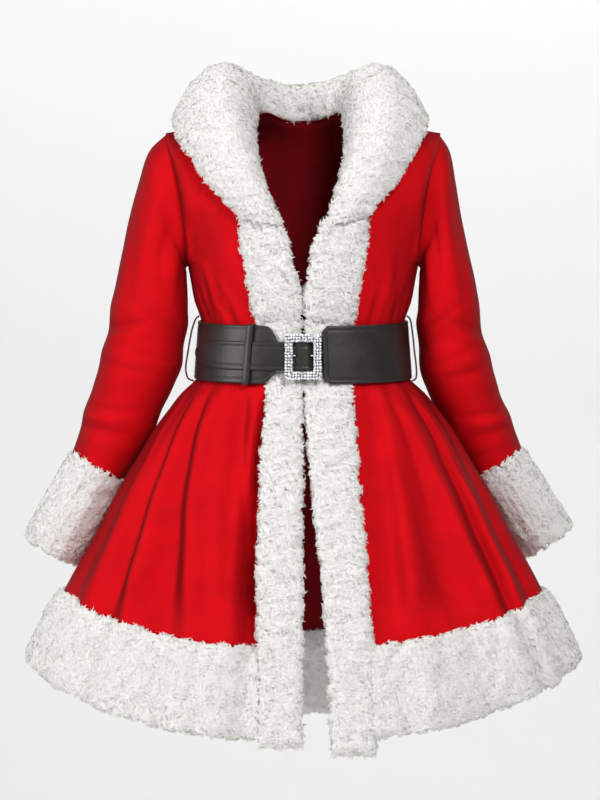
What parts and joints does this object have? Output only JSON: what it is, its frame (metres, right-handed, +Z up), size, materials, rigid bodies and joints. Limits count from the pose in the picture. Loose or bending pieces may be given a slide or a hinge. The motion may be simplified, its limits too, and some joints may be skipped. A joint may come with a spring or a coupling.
{
  "type": "santa dress costume",
  "caption": "Hollow long-sleeved flared velvet coat dress with plush collar, front strips, cuffs and hem, closed by a wide buckled belt.",
  "frame": {"origin": "in the middle of the neck opening, at the height of the seam at the nape, where the dress is held when it is worn", "axes": "+Z up, front faces -Y, +X is on the right of the front view"},
  "size_m": [0.7759, 0.3741, 0.9418],
  "materials": {
    "red_velvet": "velvet pile",
    "white_plush": "curly plush",
    "black_leatherette": "satin",
    "silver": "polished"
  },
  "bodies": {
    "root": {"bodice_back": "red_velvet", "bodice_front_left": "red_velvet", "bodice_front_right": "red_velvet", "skirt_back": "red_velvet", "skirt_front_left": "red_velvet", "skirt_front_right": "red_velvet", "sleeve_left": "red_velvet", "sleeve_right": "red_velvet", "belt_loop_left": "red_velvet", "belt_loop_right": "red_velvet", "collar": "white_plush", "front_strip_left": "white_plush", "front_strip_right": "white_plush", "cuff_left": "white_plush", "cuff_right": "white_plush", "hem_band_back": "white_plush", "hem_band_left": "white_plush", "hem_band_right": "white_plush", "belt_band": "black_leatherette", "belt_tongue": "black_leatherette", "belt_keeper": "black_leatherette", "buckle_frame": "silver", "buckle_bar": "silver"}
  },
  "joints": []
}
